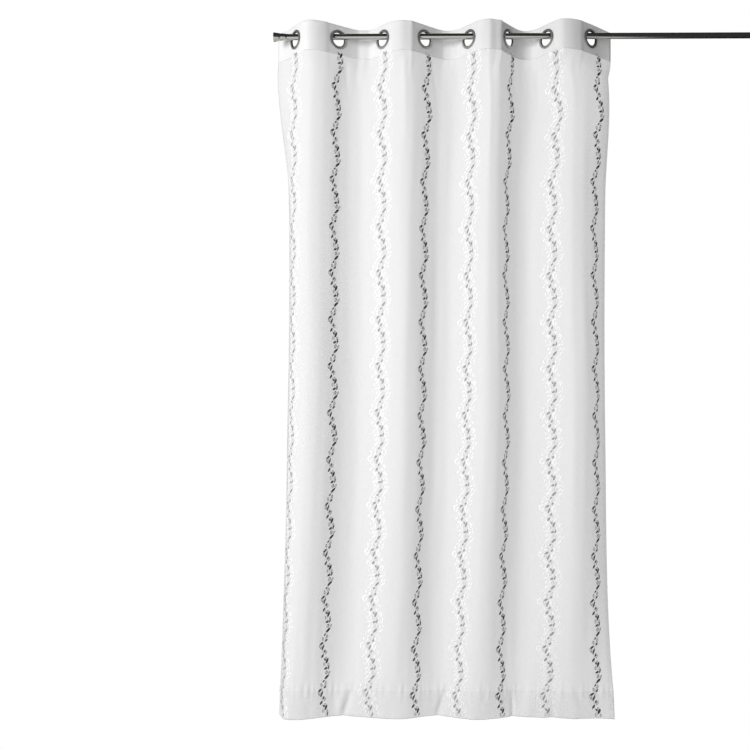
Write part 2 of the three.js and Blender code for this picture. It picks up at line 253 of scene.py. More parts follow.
class Surface:
    """The hung cloth's middle surface on a grid of heights and distances from its left edge."""

    def __init__(self, heights, columns):
        self.heights = heights
        self.columns = columns
        self.points = np.empty((len(heights), len(columns), 3))
        for row, z in enumerate(heights):
            cloth, x, y = plan_curve(z)
            self.points[row, :, 0] = np.interp(columns, cloth, x)
            self.points[row, :, 1] = np.interp(columns, cloth, y)
            self.points[row, :, 2] = z - corner_sag(columns, z)
        sag = np.interp(-heights, [-row["height"] for row in BACK_SAG], [row["share"] for row in BACK_SAG])
        self.points[..., 2] -= sag[:, None] * self.points[..., 1]
        self.refresh()

    def refresh(self):
        across = np.gradient(self.points, self.columns, axis=1)
        down = -np.gradient(self.points, self.heights, axis=0)
        self.normals = unit(np.cross(down, across))

    def displace(self, amount):
        """Moves the surface towards the room by an amount at each grid point."""
        self.points += self.normals * amount[..., None]
        self.refresh()

    def at(self, cloth, z, lift=0.0):
        """Points at a distance along the cloth and a height, lifted off the surface to the front."""
        column = np.interp(cloth, self.columns, np.arange(len(self.columns)))
        row = np.interp(-z, -self.heights, np.arange(len(self.heights)))
        c = np.minimum(column.astype(int), len(self.columns) - 2)
        r = np.minimum(row.astype(int), len(self.heights) - 2)
        fc = (column - c)[..., None]
        fr = (row - r)[..., None]

        def blend(grid):
            top = grid[r, c] * (1 - fc) + grid[r, c + 1] * fc
            foot = grid[r + 1, c] * (1 - fc) + grid[r + 1, c + 1] * fc
            return top * (1 - fr) + foot * fr

        return blend(self.points) + unit(blend(self.normals)) * np.asarray(lift)[..., None]


def make_object(name, points, faces, uv=None, materials=(), face_material=None):
    """A smooth mesh object from points in millimetres, with a UV for each point."""
    mesh = bpy.data.meshes.new(name)
    corners_of_faces = faces.tolist() if isinstance(faces, np.ndarray) else faces
    mesh.from_pydata((np.asarray(points) * MM).tolist(), [], corners_of_faces)
    mesh.update()
    mesh.polygons.foreach_set("use_smooth", np.ones(len(mesh.polygons), bool))
    if uv is not None:
        layer = mesh.uv_layers.new(name="pattern")
        corners = np.empty(len(mesh.loops), np.int32)
        mesh.loops.foreach_get("vertex_index", corners)
        layer.data.foreach_set("uv", np.asarray(uv, np.float32)[corners].ravel())
    for material in materials:
        mesh.materials.append(material)
    if face_material is not None:
        mesh.polygons.foreach_set("material_index", np.asarray(face_material, np.int32))
    thing = bpy.data.objects.new(name, mesh)
    bpy.context.scene.collection.objects.link(thing)
    return thing


def grid_faces(rows, columns):
    """Quads of a grid of points numbered row by row, facing the room."""
    corner = np.arange((rows - 1) * columns).reshape(rows - 1, columns)[:, :-1].ravel()
    return np.stack([corner, corner + columns, corner + columns + 1, corner + 1], axis=1)


def weld(thing):
    """Joins points that lie together, so that strips built apart become one skin."""
    shape = bmesh.new()
    shape.from_mesh(thing.data)
    bmesh.ops.remove_doubles(shape, verts=shape.verts, dist=WELD_REACH * MM)
    bmesh.ops.recalc_face_normals(shape, faces=shape.faces)
    shape.to_mesh(thing.data)
    shape.free()
    return thing


# Rows of the sheet lie closer under the heading and at the hem
ROW_SPREAD = [
    dict(share=0.0, height=HEADING_FOOT - SEAM_GAP),
    dict(share=0.17, height=-260),
    dict(share=0.76, height=-2170),
    dict(share=1.0, height=HEM_EDGE),
]

# Creases, one by one: where each starts along the cloth, its ends, how far its foot leans along the
# cloth, the share of its length over which it grows, its half width and its lift towards the room
CREASES = [
    dict(at=392, top=-2215, foot=-2390, lean=-50, grow=0.65, width=12, lift=-12.0),
    dict(at=352, top=-2230, foot=-2359, lean=-25, grow=0.7, width=13, lift=3.5),
    dict(at=762, top=-2215, foot=-2390, lean=-48, grow=0.65, width=12, lift=-12.0),
    dict(at=770, top=-2200, foot=-2360, lean=26, grow=0.7, width=12, lift=3.0),
    dict(at=1184, top=-2150, foot=-2390, lean=4, grow=0.8, width=18, lift=-7.0),
    dict(at=1103, top=-2150, foot=-2390, lean=0, grow=0.8, width=26, lift=7.0),
    dict(at=1269, top=-2150, foot=-2390, lean=0, grow=0.8, width=45, lift=8.0),
    dict(at=1030, top=-2240, foot=-2400, lean=4, grow=0.7, width=9, lift=-12.0),
    dict(at=1072, top=-2260, foot=-2410, lean=4, grow=0.7, width=24, lift=6.0),
    dict(at=925, top=-2240, foot=-2330, lean=-30, grow=0.5, width=9, lift=-2.2),
    dict(at=1262, top=-2235, foot=-2340, lean=24, grow=0.5, width=10, lift=-2.4),
    dict(at=1290, top=-2250, foot=-2352, lean=40, grow=0.5, width=9, lift=2.0),
    dict(at=532, top=-64, foot=-520, lean=8, grow=0.1, width=10, lift=3.5),
    dict(at=876, top=-64, foot=-640, lean=14, grow=0.1, width=9, lift=4.0),
    dict(at=182, top=-64, foot=-330, lean=4, grow=0.12, width=16, lift=1.6),
    dict(at=1222, top=-64, foot=-360, lean=14, grow=0.12, width=14, lift=2.4),
    dict(at=300, top=-64, foot=-230, lean=22, grow=0.15, width=10, lift=-2.6),
    dict(at=404, top=-64, foot=-250, lean=-20, grow=0.15, width=11, lift=-2.4),
    dict(at=646, top=-64, foot=-240, lean=24, grow=0.15, width=10, lift=-2.8),
    dict(at=752, top=-64, foot=-270, lean=-16, grow=0.15, width=10, lift=-2.4),
    dict(at=990, top=-64, foot=-260, lean=26, grow=0.15, width=10, lift=-2.8),
    dict(at=1098, top=-64, foot=-300, lean=-10, grow=0.15, width=11, lift=-3.0),
    dict(at=1338, top=-64, foot=-280, lean=16, grow=0.15, width=12, lift=-2.6),
    dict(at=62, top=-64, foot=-240, lean=-10, grow=0.15, width=12, lift=-2.0),
    dict(at=560, top=-300, foot=-1500, lean=-18, grow=0.4, width=15, lift=1.6),
    dict(at=905, top=-420, foot=-1900, lean=16, grow=0.4, width=15, lift=-1.6),
    dict(at=1230, top=-500, foot=-2100, lean=20, grow=0.5, width=16, lift=1.8),
    dict(at=215, top=-700, foot=-2050, lean=-24, grow=0.5, width=16, lift=1.4),
]

# Ridges pressed into the heading, and how far below it they fade
HEADING_RIDGES = [
    dict(at=225, width=16, lift=1.2),
    dict(at=140, width=12, lift=-1.5),
    dict(at=556, width=7, lift=3.2),
    dict(at=500, width=16, lift=-1.6),
    dict(at=870, width=6, lift=3.0),
    dict(at=915, width=10, lift=4.0),
    dict(at=892, width=6, lift=-1.6),
    dict(at=1190, width=12, lift=1.8),
    dict(at=1257, width=12, lift=1.8),
    dict(at=690, width=9, lift=-2.0),
    dict(at=722, width=8, lift=1.6),
    dict(at=1040, width=9, lift=-2.0),
    dict(at=345, width=8, lift=-2.2),
    dict(at=364, width=7, lift=2.0),
    dict(at=384, width=8, lift=-2.0),
]
RIDGE_FADE = 130

# Faint unevenness: the count, amount and spread of waves that no one stitch or fold makes
RIPPLE_SEED = 11
RIPPLES = 16
RIPPLE_LIFT = 0.3
RIPPLE_WAVES = (42, 120)
RIPPLE_DRIFT = 40
SWELL_LENGTH = 500
SWELL_SPREAD = 150
PUCKERS = 9
PUCKER_LIFT = 0.45
PUCKER_WAVES = (17, 46)
PUCKER_REACH = 24

# Below the heading the unevenness comes in over this length; ridges keep off the eyelets by these distances
SETTLE_REACH = 30
RIDGE_NEAR = 33
RIDGE_FAR = 46


def crease_lift(crease, cloth, z):
    share = np.clip((crease["top"] - z) / (crease["top"] - crease["foot"]), 0, 1)
    centre = crease["at"] + crease["lean"] * share
    grown = smoothstep(share, 0, crease["grow"]) * (1 - smoothstep(share, crease["grow"], 1))
    return crease["lift"] * grown * np.exp(-((cloth - centre) / crease["width"]) ** 2)


def unevenness(cloth, z):
    """Lift of the hung voile off its main folds; the heading stays as it is."""
    chance = np.random.default_rng(RIPPLE_SEED)
    lift = sum(crease_lift(crease, cloth, z) for crease in CREASES)
    for _ in range(RIPPLES):
        wave = chance.uniform(*RIPPLE_WAVES)
        drift = chance.uniform(-RIPPLE_DRIFT, RIPPLE_DRIFT) * z / DROP
        phase, swell, start = chance.uniform(0, 2 * np.pi, 3)
        strength = 0.5 + 0.5 * np.sin(2 * np.pi * z / (SWELL_LENGTH + SWELL_SPREAD * swell) + start)
        lift = lift + RIPPLE_LIFT * strength * np.sin(2 * np.pi * (cloth + drift) / wave + phase)
    near_seam = np.exp(-((z - HEM_TOP) / PUCKER_REACH) ** 2)
    for _ in range(PUCKERS):
        wave = chance.uniform(*PUCKER_WAVES)
        phase = chance.uniform(0, 2 * np.pi)
        lift = lift + PUCKER_LIFT * near_seam * np.sin(2 * np.pi * cloth / wave + phase)
    lift = lift * smoothstep(-z, -HEADING_FOOT, SETTLE_REACH - HEADING_FOOT)
    ridges = sum(row["lift"] * np.exp(-((cloth - row["at"]) / row["width"]) ** 2)
                 for row in HEADING_RIDGES)
    lines = CLOTH_TAIL + EYELET_PITCH * np.arange(EYELET_COUNT)
    clear = np.min(np.abs(cloth[..., None] - lines), axis=-1)
    ridges = ridges * smoothstep(clear, RIDGE_NEAR, RIDGE_FAR)
    return lift + ridges * (1 - smoothstep(-z, -HEADING_FOOT, RIDGE_FADE - HEADING_FOOT))


heading_heights = np.linspace(HEADING_TOP, HEADING_FOOT, HEADING_ROWS)
body_heights = np.interp(np.linspace(0, 1, BODY_ROWS), [row["share"] for row in ROW_SPREAD],
                         [row["height"] for row in ROW_SPREAD])
hung = Surface(np.concatenate([heading_heights, body_heights]), np.linspace(0, CLOTH_WIDTH, COLUMNS + 1))
hung.displace(unevenness(hung.columns[None, :], hung.heights[:, None]))


def voile_sheet(name, material, turned_material):
    """One thin sheet from the heading's foot down, its side hems and bottom hem turned behind it."""
    points = hung.points[HEADING_ROWS:]
    normals = hung.normals[HEADING_ROWS:]
    fall = HEADING_FOOT - body_heights
    turned = np.nonzero(body_heights < HEM_TOP)[0][-2::-1]
    points = np.concatenate([points, points[turned] - LAYER_GAP * normals[turned]])
    normals = np.concatenate([normals, normals[turned]])
    depth = np.concatenate([np.zeros(BODY_ROWS), np.ones(len(turned))])
    fall = np.concatenate([fall, 2 * fall[-1] - fall[turned]])
    side = np.nonzero(hung.columns <= SIDE_HEM)[0][1:]
    behind = (LAYER_GAP * (1 + depth))[:, None, None]
    left = (points[:, side] - behind * normals[:, side])[:, ::-1]
    right = (points[:, -1 - side] - behind * normals[:, -1 - side])
    points = np.concatenate([left, points, right], axis=1)
    across = np.concatenate([-hung.columns[side][::-1], hung.columns, CLOTH_WIDTH + hung.columns[side]])
    uv = np.stack(np.broadcast_arrays(across[None, :], -fall[:, None]), axis=-1) * MM
    rows, columns = points.shape[:2]
    layer = np.ones((rows - 1, columns - 1), int)
    layer[:BODY_ROWS - 1, len(side):-len(side)] = 0
    return make_object(name, points.reshape(-1, 3), grid_faces(rows, columns), uv.reshape(-1, 2),
                       [material, turned_material], layer.ravel())


# Heading: a stiffened double strip with a round hole at each eyelet
HEADING_THICKNESS = 0.9
HOLE_RADIUS = 28.5
CELL_ACROSS = 44
CELL_DOWN = 14
CELL_RINGS = 9


def cell_border(left, right):
    """Points round one eyelet's share of the heading, starting at its top left corner."""
    s = np.linspace(left, right, CELL_ACROSS + 1)
    z = np.linspace(HEADING_TOP, HEADING_FOOT, CELL_DOWN + 1)
    top = np.stack([s, np.full_like(s, HEADING_TOP)], axis=1)
    foot = np.stack([s[::-1], np.full_like(s, HEADING_FOOT)], axis=1)
    right_side = np.stack([np.full_like(z, right), z], axis=1)
    left_side = np.stack([np.full_like(z, left), z[::-1]], axis=1)
    return np.concatenate([top[:-1], right_side[:-1], foot[:-1], left_side[:-1]])


def heading_shell(name, material):
    """Skin between each hole and its cell's border, given its thickness by a modifier."""
    points, faces, uv = [], [], []
    for i in range(EYELET_COUNT):
        centre = np.array([CLOTH_TAIL + i * EYELET_PITCH, -EYELET_DROP])
        left = 0 if i == 0 else centre[0] - EYELET_PITCH / 2
        right = CLOTH_WIDTH if i == EYELET_COUNT - 1 else centre[0] + EYELET_PITCH / 2
        border = cell_border(left, right)
        hole = centre + HOLE_RADIUS * unit(border - centre)
        share = np.linspace(0, 1, CELL_RINGS + 1)[:, None, None]
        flat = (hole * (1 - share) + border * share)
        flat = np.concatenate([flat, flat[:, :1]], axis=1)
        rings, around = flat.shape[:2]
        faces.append(grid_faces(rings, around) + sum(len(group) for group in points))
        points.append(hung.at(flat[..., 0].ravel(), flat[..., 1].ravel()))
        uv.append(flat.reshape(-1, 2) * MM)
    thing = make_object(name, np.concatenate(points), np.concatenate(faces), np.concatenate(uv), [material])
    weld(thing)
    shell = thing.modifiers.new("thickness", "SOLIDIFY")
    shell.thickness = HEADING_THICKNESS * MM
    shell.offset = 0
    return thing


# Metal fittings
EYELET_SIDES = 72
EYELET_PROFILE = [
    dict(radius=23.5, out=-2.0), dict(radius=23.5, out=2.0), dict(radius=24.0, out=2.8),
    dict(radius=25.0, out=3.3), dict(radius=27.0, out=3.4), dict(radius=29.8, out=3.2),
    dict(radius=31.8, out=2.6), dict(radius=32.8, out=1.9), dict(radius=32.9, out=1.3),
    dict(radius=32.3, out=0.9), dict(radius=28.0, out=0.9), dict(radius=28.0, out=-0.9),
    dict(radius=32.3, out=-0.9), dict(radius=32.9, out=-1.3), dict(radius=32.8, out=-1.9),
    dict(radius=31.8, out=-2.6), dict(radius=29.8, out=-3.2), dict(radius=27.0, out=-3.4),
    dict(radius=25.0, out=-3.3), dict(radius=24.0, out=-2.8),
]
ROD_RADIUS = 10
ROD_WALL = 1
ROD_CHAMFER = 0.3
ROD_LENGTH = 1612
ROD_LEFT_END = -545
ROD_SIDES = 64
FINIAL_PROFILE = [
    dict(along=0.3, radius=9.5), dict(along=0.3, radius=10.3), dict(along=0.7, radius=10.6),
    dict(along=7.0, radius=11.2), dict(along=14.0, radius=11.8), dict(along=21.2, radius=12.4),
    dict(along=21.8, radius=12.1), dict(along=22.0, radius=11.9), dict(along=23.0, radius=11.9),
    dict(along=23.2, radius=12.3), dict(along=23.6, radius=12.6), dict(along=30.0, radius=13.5),
    dict(along=37.0, radius=14.5), dict(along=43.6, radius=15.4), dict(along=44.6, radius=15.5),
    dict(along=45.5, radius=15.2), dict(along=46.0, radius=14.6), dict(along=45.2, radius=12.0),
    dict(along=44.8, radius=6.0), dict(along=44.7, radius=0.0),
]


def turned_piece(name, profile, origin, axis, up, sides, material, closed=True):
    """A piece turned on a lathe: profile pairs are the distance along the axis and the radius."""
    axis, up = unit(np.array(axis, float)), unit(np.array(up, float))
    side = np.cross(axis, up)
    angle = np.linspace(0, 2 * np.pi, sides + 1)
    spoke = np.cos(angle)[:, None] * up + np.sin(angle)[:, None] * side
    profile = np.array([*profile, profile[0]] if closed else profile, float)
    points = np.asarray(origin) + profile[:, None, :1] * axis + profile[:, None, 1:] * spoke[None]
    path = np.concatenate([[0], np.cumsum(np.linalg.norm(np.diff(profile, axis=0), axis=1))])
    uv = np.stack(np.broadcast_arrays(path[:, None] * MM, angle[None, :] / (2 * np.pi)), axis=-1)
    thing = make_object(name, points.reshape(-1, 3), grid_faces(len(profile), sides + 1),
                        uv.reshape(-1, 2), [material])
    weld(thing)
    thing.data.set_sharp_from_angle(angle=METAL_EDGE)
    return thing


# Embroidery: one repeat of a wavy vine, charted leaf by leaf. Leaves are placed down the cloth and to the
# right of the vine's middle line; tilt is the degrees of a leaf's axis up from the horizontal
VINE_REPEAT = 161.6
VINE_START = 57
STEM_SWING = 9.5
STEM_LEAD = 12
LEAVES = [
    dict(tone="dark", down=0, right=9.0, length=25, width=8.2, tilt=41),
    dict(tone="dark", down=45, right=-15.8, length=18, width=7.6, tilt=34),
    dict(tone="dark", down=59, right=-9.5, length=24, width=7.0, tilt=66),
    dict(tone="dark", down=89, right=-10.5, length=18, width=7.4, tilt=52),
    dict(tone="dark", down=106, right=9.0, length=22, width=8.4, tilt=66),
    dict(tone="dark", down=132, right=4.4, length=16, width=7.4, tilt=27),
    dict(tone="mid", down=15, right=-3.0, length=13, width=5.6, tilt=46),
    dict(tone="mid", down=34.5, right=3.4, length=14, width=6.4, tilt=50),
    dict(tone="mid", down=72, right=-2.0, length=14, width=6.0, tilt=60),
    dict(tone="mid", down=129, right=15.4, length=17, width=5.4, tilt=72),
    dict(tone="mid", down=101, right=0.5, length=12, width=6.0, tilt=135),
    dict(tone="line", down=29, right=-11.0, length=14, width=7.6, tilt=100),
    dict(tone="line", down=22, right=6.0, length=13, width=6.2, tilt=70),
    dict(tone="line", down=55, right=-20.5, length=19, width=9.0, tilt=106),
    dict(tone="line", down=77, right=3.0, length=14, width=6.8, tilt=62),
    dict(tone="line", down=97, right=6.0, length=13, width=6.6, tilt=112),
    dict(tone="line", down=118, right=-3.0, length=13, width=5.6, tilt=98),
    dict(tone="line", down=119, right=14.0, length=12, width=6.2, tilt=74),
    dict(tone="line", down=146, right=7.5, length=14, width=9.0, tilt=62),
    dict(tone="line", down=147, right=18.5, length=13, width=6.6, tilt=58),
]
LEAF_HEIGHT = 0.7
LINE_HEIGHT = 0.5
THREAD_LIFT = 0.2
LEAF_SECTIONS = 6
LOOP_POINTS = 12
STEM_STEP = 5
STEM_WIDTH = 0.7
FLANK_OFFSET = 23.5
WHITE_SLIM = 0.62
VINE_RISE = 12
VINE_FOOT_GAP = 2
STEM_TOP_GAP = 2


def leaf_template():
    """A lens-shaped leaf of unit length, width and height, domed at the front and closed behind."""
    points = [(-0.5, 0, 0)]
    for i in range(1, LEAF_SECTIONS):
        along = i / LEAF_SECTIONS
        half = 0.5 * math.sin(math.pi * along) ** 0.65
        dome = math.sin(math.pi * along) ** 0.5
        points += [(along - 0.5, -half, 0), (along - 0.5, 0, dome), (along - 0.5, half, 0),
                   (along - 0.5, 0, -0.4 * dome)]
    points.append((0.5, 0, 0))
    last = len(points) - 1
    faces = []
    for k in range(4):
        faces.append((0, 1 + (k + 1) % 4, 1 + k))
        for i in range(LEAF_SECTIONS - 2):
            a = 1 + 4 * i
            faces.append((a + k, a + (k + 1) % 4, a + 4 + (k + 1) % 4, a + 4 + k))
        a = 1 + 4 * (LEAF_SECTIONS - 2)
        faces.append((a + k, a + (k + 1) % 4, last))
    return np.array(points), faces


def loop_template():
    """The raised outline of a leaf of unit length and width."""
    points = []
    for i in range(LOOP_POINTS):
        angle = 2 * math.pi * i / LOOP_POINTS
        along, across = 0.5 * math.cos(angle), 0.5 * math.sin(angle) * abs(math.sin(angle)) ** 0.3
        points += [(along, across, 0), (along * 0.84, across * 0.74, 1), (along * 0.68, across * 0.48, 0)]
    faces = []
    for i in range(LOOP_POINTS):
        a, b = 3 * i, 3 * ((i + 1) % LOOP_POINTS)
        faces += [(a + k, b + k, b + (k + 1) % 3, a + (k + 1) % 3) for k in range(3)]
    return np.array(points), faces


class Needlework:
    """Gathers small sewn shapes on the hung cloth into one mesh."""

    def __init__(self):
        self.points, self.faces, self.uv, self.tones, self.count = [], [], [], [], 0

    @staticmethod
    def ground(z):
        """Lift of sewing off the cloth's middle: more where it lies on the thicker heading."""
        return np.where(z > HEADING_FOOT, HEADING_THICKNESS / 2, 0) + THREAD_LIFT

    def add(self, template, faces, cloth, z, length, width, height, tilt, tone):
        """A copy of the template at each place, laid on the cloth at its tilt."""
        along = length[:, None] * template[:, 0]
        across = width[:, None] * template[:, 1]
        s = cloth[:, None] + along * np.cos(tilt)[:, None] - across * np.sin(tilt)[:, None]
        up = z[:, None] + along * np.sin(tilt)[:, None] + across * np.cos(tilt)[:, None]
        lift = height * template[:, 2] + self.ground(up)
        self.points.append(hung.at(s.ravel(), up.ravel(), lift.ravel()))
        self.uv.append(np.stack([along.ravel(), across.ravel()], axis=1) * MM)
        for copy in range(len(cloth)):
            base = self.count + copy * len(template)
            self.faces += [tuple(base + corner for corner in face) for face in faces]
        self.tones += [tone] * (len(cloth) * len(faces))
        self.count += len(cloth) * len(template)

    def add_stem(self, cloth, z, width, height, tone):
        """A raised thread that runs through a line of places on the cloth."""
        bends = np.stack([np.gradient(cloth), np.gradient(z)], axis=1)
        side = unit(np.stack([-bends[:, 1], bends[:, 0]], axis=1)) * width / 2
        ground = self.ground(z)
        ring = [hung.at(cloth + side[:, 0], z + side[:, 1], ground),
                hung.at(cloth, z, ground + height),
                hung.at(cloth - side[:, 0], z - side[:, 1], ground)]
        self.points.append(np.stack(ring, axis=1).reshape(-1, 3))
        run_length = np.arange(len(z)) * STEM_STEP
        self.uv.append(np.repeat(np.stack([run_length, run_length * 0], axis=1), 3, axis=0) * MM)
        for i in range(len(z) - 1):
            a, b = self.count + 3 * i, self.count + 3 * i + 3
            self.faces += [(a + k, b + k, b + (k + 1) % 3, a + (k + 1) % 3) for k in range(3)]
        self.tones += [tone] * (3 * (len(z) - 1))
        self.count += 3 * len(z)

    def finish(self, name, materials):
        thing = make_object(name, np.concatenate(self.points), self.faces, np.concatenate(self.uv),
                            materials, self.tones)
        thing.data.set_sharp_from_angle(angle=THREAD_EDGE)
        return thing


def add_vine(work, middle, tones, start, slim=1.0, outlined=True):
    """One vine down the voile, its middle line at a distance along the cloth."""
    repeats = np.arange(-1, math.ceil(DROP / VINE_REPEAT) + 1)
    for leaf in LEAVES:
        z = HEADING_FOOT - VINE_START - start - leaf["down"] - repeats * VINE_REPEAT
        reach = leaf["length"] / 2
        z = z[(z < HEADING_FOOT + VINE_RISE - reach) & (z > HEM_EDGE + VINE_FOOT_GAP + reach)]
        loop = outlined and leaf["tone"] == "line"
        template, faces = loop_template() if loop else leaf_template()
        same = np.ones_like(z)
        work.add(template, faces, same * (middle + leaf["right"]), z, same * leaf["length"],
                 same * leaf["width"] * slim, LINE_HEIGHT if loop else LEAF_HEIGHT,
                 same * math.radians(leaf["tilt"]), tones[leaf["tone"]])
    if not outlined:
        return
    z = np.arange(HEADING_FOOT + VINE_RISE - STEM_TOP_GAP, HEM_EDGE + VINE_FOOT_GAP, -STEM_STEP)
    turn = 2 * np.pi * (HEADING_FOOT - VINE_START - start - z + STEM_LEAD) / VINE_REPEAT
    work.add_stem(middle + STEM_SWING * np.cos(turn), z, STEM_WIDTH, LINE_HEIGHT, tones["line"])


# Sewing: rows of short straight stitches
STITCH_PITCH = 3.8
STITCH_LENGTH = 3.0
STITCH_WIDTH = 0.6
STITCH_HEIGHT = 0.35
SEAM_MARGIN = 4
SEAMS_ACROSS = dict(heading_foot=HEADING_FOOT + 5, heading_top=HEADING_TOP - 4, hem=HEM_TOP + 1.5)
SEAMS_DOWN = dict(left=SIDE_HEM - 2, right=CLOTH_WIDTH - SIDE_HEM + 2)


def add_seams(work):
    template, faces = leaf_template()
    cloth = np.arange(STITCH_PITCH, CLOTH_WIDTH - STITCH_LENGTH, STITCH_PITCH)
    for z in SEAMS_ACROSS.values():
        same = np.ones_like(cloth)
        work.add(template, faces, cloth, same * z, same * STITCH_LENGTH, same * STITCH_WIDTH, STITCH_HEIGHT,
                 same * 0, 0)
    z = np.arange(HEADING_FOOT - SEAM_MARGIN, HEM_EDGE + SEAM_MARGIN, -STITCH_PITCH)
    for side in SEAMS_DOWN.values():
        same = np.ones_like(z)
        work.add(template, faces, same * side, z, same * STITCH_LENGTH, same * STITCH_WIDTH, STITCH_HEIGHT,
                 same * math.pi / 2, 0)


class Nodes:
    """Short ways to set up the nodes of one material or world."""

    def __init__(self, owner, output):
        self.owner = owner
        owner.use_nodes = True
        self.tree = owner.node_tree
        self.tree.nodes.clear()
        self.output = self.tree.nodes.new(output)

    def node(self, kind, links=None, **settings):
        """A node; settings that it has as properties are set, and its inputs are given by name in links."""
        made = self.tree.nodes.new(kind)
        for key, value in settings.items():
            setattr(made, key, value)
        for key, value in (links or {}).items():
            if isinstance(value, bpy.types.NodeSocket):
                self.tree.links.new(value, made.inputs[key])
            else:
                made.inputs[key].default_value = value
        return made

    def maths(self, operation, first, second=0.0):
        return self.node("ShaderNodeMath", {0: first, 1: second}, operation=operation).outputs[0]

    def pattern(self):
        return self.node("ShaderNodeUVMap", uv_map="pattern").outputs["UV"]

    def stretched(self, vector, scale):
        return self.node("ShaderNodeMapping", {"Vector": vector, "Scale": scale}).outputs["Vector"]

    def noise(self, vector, scale, detail=2.0):
        made = self.node("ShaderNodeTexNoise", {"Vector": vector, "Scale": scale, "Detail": detail})
        return made.outputs["Fac"]

    def threads(self, vector, direction, pitch):
        """Bands across a direction, one for each pitch in metres."""
        links = {"Vector": vector, "Scale": 2 * math.pi / 20 / pitch, "Distortion": 0.0}
        made = self.node("ShaderNodeTexWave", links, wave_type="BANDS", bands_direction=direction)
        return made.outputs["Fac"]

    def fit(self, value, low, high, start=0.0, end=1.0):
        """A value between start and end brought between two others."""
        return self.node("ShaderNodeMapRange", {"Value": value, "From Min": start, "From Max": end,
                                                "To Min": low, "To Max": high}).outputs["Result"]

    def bump(self, height, depth, strength=1.0):
        made = self.node("ShaderNodeBump", {"Height": height, "Distance": depth, "Strength": strength})
        return made.outputs["Normal"]

    def tint(self, share, first, second):
        made = self.node("ShaderNodeMix", {0: share, 6: (*first, 1), 7: (*second, 1)}, data_type="RGBA")
        return made.outputs[2]

    def finish(self, shader):
        self.tree.links.new(shader, self.output.inputs["Surface"])
        return self.owner


def paint(name):
    return Nodes(bpy.data.materials.new(name), "ShaderNodeOutputMaterial")


# Paint: pitches in metres, the least and most share of light that each cloth stops, and its two tints
WEAVE_PITCH = 0.0006
THREAD_PITCH = 0.0007
VOILE_COVER = (0.56, 0.74)
TURNED_COVER = (0.05, 0.14)
HEADING_COVER = (0.78, 0.90)
VOILE_GLOW = 0.42
HEADING_GLOW = 0.32
VOILE_TINTS = ((0.90, 0.90, 0.905), (0.955, 0.955, 0.955))
SEEN_THROUGH = (0.95, 0.95, 0.95, 1)

# Metres round the eyelet's section, from its bore's back: where the painted shade on its throat and on its
# rim starts or ends
FRONT_THROAT_SHADE_END = (0.0045, 0.0065)
BACK_THROAT_SHADE_START = (0.0350, 0.0370)
RIM_SHADE_START = (0.0128, 0.0142)
RIM_SHADE_END = (0.0270, 0.0285)


def cloth_paint(name, cover, glow):
    """White voile: a see-through weave with uneven threads that lets some light through."""
    p = paint(name)
    uv = p.pattern()
    weave = p.maths("MAXIMUM", p.threads(uv, "X", WEAVE_PITCH), p.threads(uv, "Y", WEAVE_PITCH))
    slub = p.noise(p.stretched(uv, (900, 40, 1)), 1.0)
    slack = p.noise(p.stretched(uv, (50, 700, 1)), 1.0)
    cloud = p.noise(uv, 9.0)
    uneven = p.maths("MULTIPLY", p.maths("ADD", p.maths("ADD", slub, slack), cloud), 1 / 3)
    dense = p.maths("ADD", p.maths("MULTIPLY", weave, 0.4), p.maths("MULTIPLY", uneven, 0.6))
    normal = p.bump(weave, 0.00012, 0.35)
    colour = p.tint(uneven, *VOILE_TINTS)
    face = p.node("ShaderNodeBsdfPrincipled", {"Base Color": colour, "Roughness": 0.8, "Sheen Weight": 0.12,
                                               "Sheen Roughness": 0.4, "Normal": normal})
    through = p.node("ShaderNodeBsdfTranslucent", {"Color": colour, "Normal": normal})
    body = p.node("ShaderNodeMixShader", {0: glow, 1: face.outputs[0], 2: through.outputs[0]})
    clear = p.node("ShaderNodeBsdfTransparent", {"Color": SEEN_THROUGH})
    mixed = p.node("ShaderNodeMixShader", {0: p.fit(dense, *cover), 1: clear.outputs[0], 2: body.outputs[0]})
    return p.finish(mixed.outputs[0])


def thread_paint(name, shade, sheen):
    """Satin thread: fine lines across each leaf, slightly uneven in shade."""
    p = paint(name)
    uv = p.pattern()
    lines = p.threads(uv, "X", THREAD_PITCH)
    patches = p.noise(uv, 400.0)
    colour = p.tint(patches, [c * 0.86 for c in shade], [min(c * 1.12, 0.97) for c in shade])
    face = p.node("ShaderNodeBsdfPrincipled", {"Base Color": colour, "Roughness": p.fit(lines, 0.5, 0.7),
                                               "Sheen Weight": sheen, "Sheen Roughness": 0.35,
                                               "Normal": p.bump(lines, 0.0002, 0.5)})
    return p.finish(face.outputs[0])


def metal_paint(name, dark, light, roughness, grain):
    """Bare metal with fine streaks and a few dull patches."""
    p = paint(name)
    uv = p.pattern()
    streaks = p.noise(p.stretched(uv, grain), 1.0, 4.0)
    patches = p.noise(p.stretched(uv, (30, 6, 1)), 1.0)
    colour = p.tint(streaks, dark, light)
    rough = p.maths("ADD", p.fit(streaks, roughness * 0.75, roughness * 1.25), p.fit(patches, -0.015, 0.02))
    face = p.node("ShaderNodeBsdfPrincipled", {"Base Color": colour, "Metallic": 1.0, "Roughness": rough,
                                               "Normal": p.bump(streaks, 0.00002, 0.3)})
    return p.finish(face.outputs[0])


